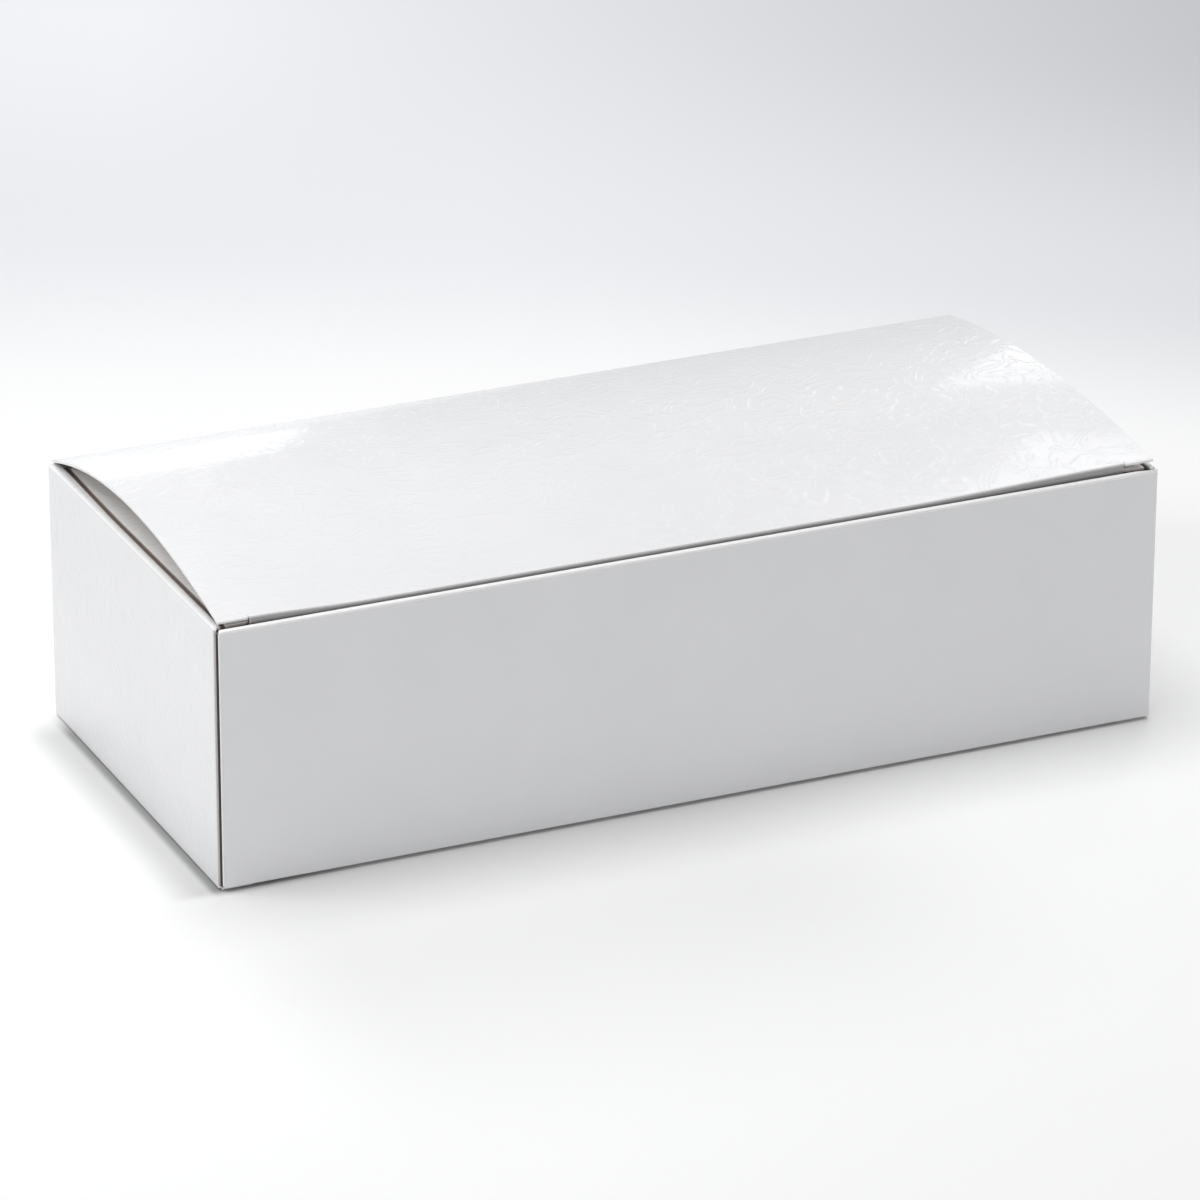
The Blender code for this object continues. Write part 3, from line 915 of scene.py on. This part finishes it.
def build_dust_flap(name, frame_matrix, side, slope, lifted, body, node):
    """A dust flap, drawn flat with its crease at x = 0, then set against its end wall."""
    bm = bmesh.new()
    step_end = DUST_SHOULDER + DUST_STEP_RUN
    front = SEAM_Y + DUST_FRONT_STEP
    front_tip = front + (DUST_REACH - step_end) * math.tan(DUST_FRONT_TAPER)
    rear = HALF_DEPTH - DUST_REAR_SETBACK
    rear_tip = rear - DUST_REACH * DUST_REAR_SLOPE
    shoulder = SEAM_Y + DUST_SHOULDER_BACK
    outline = [(DUST_NEAR, shoulder), (DUST_SHOULDER, shoulder), (step_end, front),
               (DUST_REACH, front_tip), (DUST_REACH, rear_tip), (DUST_NEAR, rear)]
    radii = {1: DUST_STEP_RADIUS, 2: DUST_STEP_RADIUS, 3: DUST_CORNER, 4: DUST_CORNER,
             5: DUST_REAR_RADIUS}
    rounded_outline(bm, outline, radii, DUST_CORNER_STEPS)
    if lifted:
        lift_flap(bm)
    for vert in bm.verts:
        vert.co.x += widening(vert.co.y) * max(0.0, 1 - vert.co.x / DUST_LIFT_RUN)
    if side > 0:
        bmesh.ops.transform(bm, matrix=Matrix.Scale(-1, 4, (1, 0, 0)), verts=bm.verts)
    hinge = Vector((side * (END_FOLD_X - DUST_CREASE_GAP / 2), 0, 0))
    place = frame_matrix @ Matrix.Translation(hinge) @ Matrix.Rotation(side * slope, 4, "Y")
    bmesh.ops.transform(bm, matrix=place, verts=bm.verts)
    piece = board_object(name, bm, frame_matrix.to_3x3() @ Vector((0, 0, 1)),
                         soften=DUST_EDGE_SOFTNESS, materials=DUST_MATERIALS)
    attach(piece, body)
    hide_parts(node)


# Creases

def build_crease(name, frame_matrix, fold, start, end, half_width, skin, level=False):
    """The stretch of a fold that bends when a closure opens. For a level one the heights of
    its two ends are made equal, but the ends are not used further."""
    first, last = start - CREASE_LAP, end + CREASE_LAP
    angles = [first + (last - first) * step / CREASE_STEPS for step in range(CREASE_STEPS + 1)]
    bm = bmesh.new()
    add_grid(bm, [[fold(x, angle) for angle in angles]
                  for x in spaced(-half_width, half_width)], skin)
    bmesh.ops.transform(bm, matrix=frame_matrix, verts=bm.verts)
    middle = (start + end) / 2
    outward = frame_matrix.to_3x3() @ Vector((0, -math.sin(middle), math.cos(middle)))
    piece = board_object(name, bm, outward, soften=HAIRLINE)
    ends = [frame_matrix @ fold(0.0, angle) for angle in (start, end)]
    if level:
        ends[1].z = ends[0].z
    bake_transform(piece)


def build_dust_crease(name, frame_matrix, side):
    """The thin ligament left at the bottom of the cut crease of a dust flap, painted dark brown as
    the crease's shade.
    """
    near_inset = FOLD * (1 - math.cos(ROLL_OVER)) + VALLEY_LENGTH * math.sin(ROLL_OVER) - WALL_LAP
    far_inset = HALF_LENGTH - END_FOLD_X + DUST_CREASE_GAP / 2 + DUST_NEAR + FLAP_LAP
    insets = [near_inset + (far_inset - near_inset) * step / CREASE_STEPS
              for step in range(CREASE_STEPS + 1)]
    bm = bmesh.new()
    add_grid(bm, [[(side * (HALF_LENGTH - inset - widening(y)), y, -CREASE_DEPTH)
                   for inset in insets] for y in spaced(LIGAMENT_FRONT_Y, LIGAMENT_REAR_Y)])
    bmesh.ops.transform(bm, matrix=frame_matrix, verts=bm.verts)
    piece = board_object(name, bm, frame_matrix.to_3x3() @ Vector((0, 0, 1)),
                         thickness=LIGAMENT, soften=HAIRLINE, materials=LIGAMENT_MATERIALS)
    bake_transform(piece)


build_carton_walls()
LID_FRONT = front_fold_of(lid_front_rise)
BOTTOM_FRONT = front_fold_of(lambda x: CLOSURE_STEP)
build_closure("lid", TOP_FRAME, LID_BOW_LEFT, LID_BOW_RIGHT, LID_FRONT, "lid", "lid_panel")
build_tuck_flap("lid_tuck", TOP_FRAME, LID_FRONT, "lid_tuck", "lid_tuck_flap")
build_closure("bottom", BOTTOM_FRAME, 0.0, 0.0, BOTTOM_FRONT, "bottom", "bottom_panel")
build_tuck_flap("bottom_tuck", BOTTOM_FRAME, BOTTOM_FRONT, "bottom_tuck", "bottom_tuck_flap")

# Body, frame, side in that frame, slope, and whether the rear end of its cut edge lifts
DUST_FLAPS = (("top_left_dust", TOP_FRAME, -1, LID_DUST_SLOPE, True),
              ("top_right_dust", TOP_FRAME, 1, LID_DUST_SLOPE, True),
              ("bottom_left_dust", BOTTOM_FRAME, 1, 0.0, False),
              ("bottom_right_dust", BOTTOM_FRAME, -1, 0.0, False))
for flap, matrix, side, slope, lifted in DUST_FLAPS:
    build_dust_flap(flap, matrix, side, slope, lifted, flap, flap + "_flap")
    build_dust_crease(flap + "_crease", matrix, side)
for closure, matrix, front_fold in (("lid", TOP_FRAME, LID_FRONT),
                                    ("bottom", BOTTOM_FRAME, BOTTOM_FRONT)):
    build_crease(closure + "_crease", matrix, rear_fold, -FOLD_MIDDLE - SPLIT,
                 -FOLD_MIDDLE + SPLIT, END_FOLD_X - GAP, PLAIN_SKIN)
    build_crease(closure + "_tuck_crease", matrix, front_fold, TUCK_SPLIT - SPLIT,
                 TUCK_SPLIT + SPLIT, TUCK_HALF, CREASED_SHADE_SKIN,
                 level=True)


# Camera, from the corners of the box in the photograph of 1200 x 1200 pixels

CAMERA_PLACE = Vector((-0.542844, -1.200666, 0.592114))
CAMERA_RIGHT = Vector((0.911891, -0.410421, 0.002994))
CAMERA_DOWN = Vector((-0.159647, -0.361411, -0.918637))
CAMERA_FORWARD = Vector((0.378110, 0.837220, -0.395090))
FOCAL_PIXELS = 7201.0
FRAME_PIXELS = 1200.0
SENSOR = 36.0

camera_data = bpy.data.cameras.new("camera")
camera_data.sensor_width = SENSOR
camera_data.lens = FOCAL_PIXELS / FRAME_PIXELS * SENSOR
camera_data.clip_start = 0.05
camera_data.clip_end = 50.0
camera = bpy.data.objects.new("camera", camera_data)
turn = Matrix((CAMERA_RIGHT, -CAMERA_DOWN, -CAMERA_FORWARD)).transposed().to_4x4()
camera.matrix_world = Matrix.Translation(CAMERA_PLACE) @ turn
bpy.context.scene.collection.objects.link(camera)
bpy.context.scene.camera = camera


# Floor. Away and across are distances over it, away from the camera and to the right.

FLOOR_HALF = 4.0
FLOOR_AWAY = (0.4116, 0.9114, 0.0)
FLOOR_ACROSS = (0.9114, -0.4116, 0.0)
FLOOR_PLAIN = (0.92, 0.92, 0.92, 1.0)
FLOOR_TINT = (0.985, 1.0, 1.035)
TINT_DEPTHS = (0.15, 0.30)
NEAR_MOTTLE = (0.985, 1.0)
MIDDLE_DEPTHS, MIDDLE_ACROSS, MIDDLE_TONES = (0.165, 0.275), (-0.03, 0.15), (0.90, 0.79)
FAR_DEPTHS, FAR_ACROSS, FAR_TONES = (0.27, 0.45), (-0.12, 0.15), (1.0, 0.645)
SWEEP_SLANT = 0.25              # how much nearer the sweep comes for each metre to the right

# Shade beside the left end wall: far end, near end and darkness of each part
FOOT_SHADE = ((0.0120, 0.0030, 0.24), (0.0024, 0.0005, 0.38))
FOOT_SHADE_FRONT = (-HALF_DEPTH - 0.002, -HALF_DEPTH + 0.002)
FOOT_SHADE_BACK = (HALF_DEPTH - 0.012, HALF_DEPTH)
FOOT_SHADE_INSIDE = (-HALF_LENGTH + 0.01, -HALF_LENGTH + 0.03)

# Shade in front of the left half: where it grows to its darkness, and where it ends
FRONT_SHADE = 0.13
FRONT_SHADE_NEAR = (-HALF_DEPTH - 0.13, -HALF_DEPTH - 0.03)
FRONT_SHADE_BACK = (-HALF_DEPTH - 0.01, -HALF_DEPTH + 0.02)
FRONT_SHADE_LEFT = (-0.125, -0.085)
FRONT_SHADE_RIGHT = (-0.01, 0.06)

RISING, FALLING = (0.0, 1.0), (1.0, 0.0)


def foot_shade(tree, place):
    """The soft contact shade painted on the floor beside the left end wall, 1 away from it."""
    x, y = component(tree, place, "X"), component(tree, place, "Y")
    dark = 0.0
    for far, close, amount in FOOT_SHADE:
        reach = (-HALF_LENGTH - far, -HALF_LENGTH - close)
        part = map_range(tree, x, reach, (0.0, amount), smooth=True)
        dark = math_node(tree, "ADD", dark, part)
    beside = product(tree, map_range(tree, y, FOOT_SHADE_FRONT, RISING, smooth=True),
                     map_range(tree, y, FOOT_SHADE_BACK, FALLING, smooth=True),
                     map_range(tree, x, FOOT_SHADE_INSIDE, FALLING))
    return math_node(tree, "SUBTRACT", 1.0, product(tree, dark, beside))


def front_shade(tree, place):
    """The wide soft shade painted on the floor in front of the box's left half, 1 away from it."""
    x, y = component(tree, place, "X"), component(tree, place, "Y")
    share = product(tree, map_range(tree, y, FRONT_SHADE_NEAR, (0.0, FRONT_SHADE), smooth=True),
                    map_range(tree, y, FRONT_SHADE_BACK, FALLING, smooth=True),
                    map_range(tree, x, FRONT_SHADE_LEFT, RISING, smooth=True),
                    map_range(tree, x, FRONT_SHADE_RIGHT, FALLING, smooth=True))
    return math_node(tree, "SUBTRACT", 1.0, share)


def studio_floor():
    """White round the box but for painted shade beside it, with a pale blue-grey sweep far behind
    it, darker to the right. Camera, mirrors and glass see these, and the light meets one plain pale
    grey."""
    material, tree = new_material("studio_floor")
    place = object_coordinates(tree)
    away, across = along(tree, place, FLOOR_AWAY), along(tree, place, FLOOR_ACROSS)
    right = math_node(tree, "MAXIMUM", across, 0.0)
    depth = math_node(tree, "ADD", away, product(tree, right, SWEEP_SLANT))
    mottle = noise(tree, place, scale=7.0, detail=2.0)
    near = product(tree, map_range(tree, mottle, (0.3, 0.7), NEAR_MOTTLE),
                   front_shade(tree, place), foot_shade(tree, place))
    middle = map_range(tree, across, MIDDLE_ACROSS, MIDDLE_TONES)
    far = map_range(tree, across, FAR_ACROSS, FAR_TONES)
    tone = mixed(tree, map_range(tree, depth, MIDDLE_DEPTHS, RISING, smooth=True), near, middle)
    tone = mixed(tree, map_range(tree, depth, FAR_DEPTHS, RISING, smooth=True), tone, far)
    blue = map_range(tree, depth, TINT_DEPTHS, RISING, smooth=True)
    painted = add_node(tree, "ShaderNodeCombineColor")
    for socket, tint in zip(painted.inputs, FLOOR_TINT):
        tree.links.new(product(tree, tone, mixed(tree, blue, 1.0, tint)), socket)
    path = add_node(tree, "ShaderNodeLightPath").outputs
    seen = math_node(tree, "MAXIMUM", path["Is Camera Ray"], path["Is Glossy Ray"])
    seen = math_node(tree, "MAXIMUM", seen, path["Is Transmission Ray"])
    plain, backdrop = (add_node(tree, "ShaderNodeBsdfDiffuse") for _ in range(2))
    plain.inputs["Color"].default_value = FLOOR_PLAIN
    tree.links.new(painted.outputs[0], backdrop.inputs["Color"])
    mix = add_node(tree, "ShaderNodeMixShader")
    output = add_node(tree, "ShaderNodeOutputMaterial")
    tree.links.new(seen, mix.inputs[0])
    tree.links.new(plain.outputs[0], mix.inputs[1])
    tree.links.new(backdrop.outputs[0], mix.inputs[2])
    tree.links.new(mix.outputs[0], output.inputs["Surface"])
    return material


def build_floor():
    bm = bmesh.new()
    bmesh.ops.create_grid(bm, x_segments=1, y_segments=1, size=FLOOR_HALF)
    mesh = bpy.data.meshes.new("floor")
    bm.to_mesh(mesh)
    bm.free()
    floor = bpy.data.objects.new("floor", mesh)
    bpy.context.scene.collection.objects.link(floor)
    mesh.materials.append(studio_floor())


build_floor()


# Light. Each lamp has its place, the point that it faces, its width and height, and its watts.

LAMPS = {
    "overhead": ((0.0, 0.1, 1.6), (0, 0, 0), (1.2, 1.2), 12.0),
    "near_left": ((-0.248, 0.02, 0.337), (-0.098, 0, 0.054), (0.14, 0.14), 0.34),
    "low_behind_left": ((0.09, 0.87, 0.13), (-0.07, 0.03, 0.06), (0.32, 0.20), 0.22),
    "high_behind_right": ((0.325, 0.275, 0.375), (0.08, -0.03, 0.06), (0.13, 0.13), 0.105),
    "low_behind_right": ((0.78, 0.98, 0.44), (0.08, 0.0, 0.06), (0.34, 0.25), 0.40),
}
WORLD_COLOUR = (0.99, 0.995, 1.0, 1.0)
WORLD_EVEN = 0.38
WORLD_LEFT, LEFT_DIRECTION = 0.12, (-0.854, -0.513, 0.085)
WORLD_BEHIND, BEHIND_DIRECTION = 0.15, (0, 1, 0)


def area_light(name, place, target, size, watts):
    data = bpy.data.lights.new(name, "AREA")
    data.shape = "RECTANGLE"
    data.size, data.size_y = size
    data.energy = watts
    lamp = bpy.data.objects.new(name, data)
    lamp.location = place
    lamp.rotation_mode = "QUATERNION"
    lamp.rotation_quaternion = (Vector(target) - Vector(place)).to_track_quat("-Z", "Y")
    lamp.visible_camera = False
    bpy.context.scene.collection.objects.link(lamp)


def light_from(tree, place, direction, amount):
    """Light that grows from nothing at right angles to a direction to an amount along it."""
    return map_range(tree, along(tree, place, direction), (0.0, 1.0), (0.0, amount), smooth=True)


def studio_world():
    """Even light from all round, with a little more from the front left and from behind."""
    world = bpy.data.worlds.new("studio")
    world.use_nodes = True
    tree = world.node_tree
    place = add_node(tree, "ShaderNodeTexCoord").outputs["Generated"]
    left = light_from(tree, place, LEFT_DIRECTION, WORLD_LEFT)
    behind = light_from(tree, place, BEHIND_DIRECTION, WORLD_BEHIND)
    strength = math_node(tree, "ADD", math_node(tree, "ADD", left, behind), WORLD_EVEN)
    background = tree.nodes["Background"]
    background.inputs["Color"].default_value = WORLD_COLOUR
    tree.links.new(strength, background.inputs["Strength"])
    bpy.context.scene.world = world


studio_world()
for name, (place, target, size, watts) in LAMPS.items():
    area_light(name, place, target, size, watts)

bpy.context.scene.view_settings.view_transform = "Standard"
